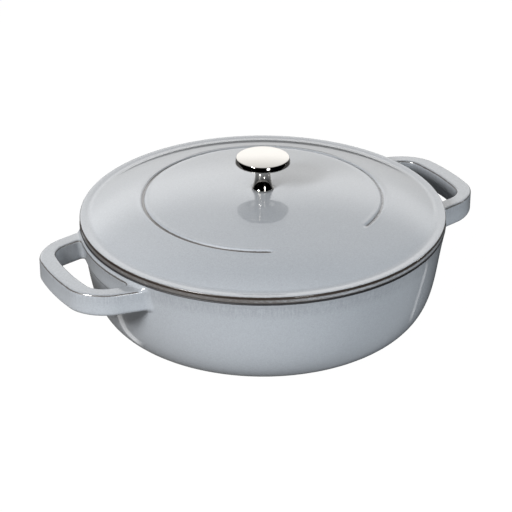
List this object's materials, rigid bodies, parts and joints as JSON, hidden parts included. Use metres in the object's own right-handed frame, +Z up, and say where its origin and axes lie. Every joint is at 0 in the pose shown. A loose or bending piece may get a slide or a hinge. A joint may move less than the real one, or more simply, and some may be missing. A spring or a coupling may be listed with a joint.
{
  "type": "cooking pot",
  "caption": "Low round enamelled cast-iron pot with cast loop handles and a domed lift-off lid with a metal knob, for braising and serving.",
  "frame": {"origin": "on the pot's axis, at the level of the worktop it stands on", "axes": "+Z up along the pot's axis, +X through the two handles"},
  "size_m": [0.3622, 0.2866, 0.132],
  "materials": {
    "grey_enamel": "gloss enamel, pale grey outside and matte black inside",
    "polished_metal": "mirror polished",
    "plain_steel": "plain zinc-plated"
  },
  "bodies": {
    "pot": {"pot_body": "grey_enamel"},
    "lid_set": {"lid": "grey_enamel", "knob": "polished_metal", "knob_screw": "plain_steel", "knob_washer": "plain_steel"}
  },
  "joints": [
    {"name": "lid_lift", "type": "slide", "parent": "pot", "child": "lid_set", "axis": [0, 0, 1], "range_m": [0, 0.15]}
  ]
}
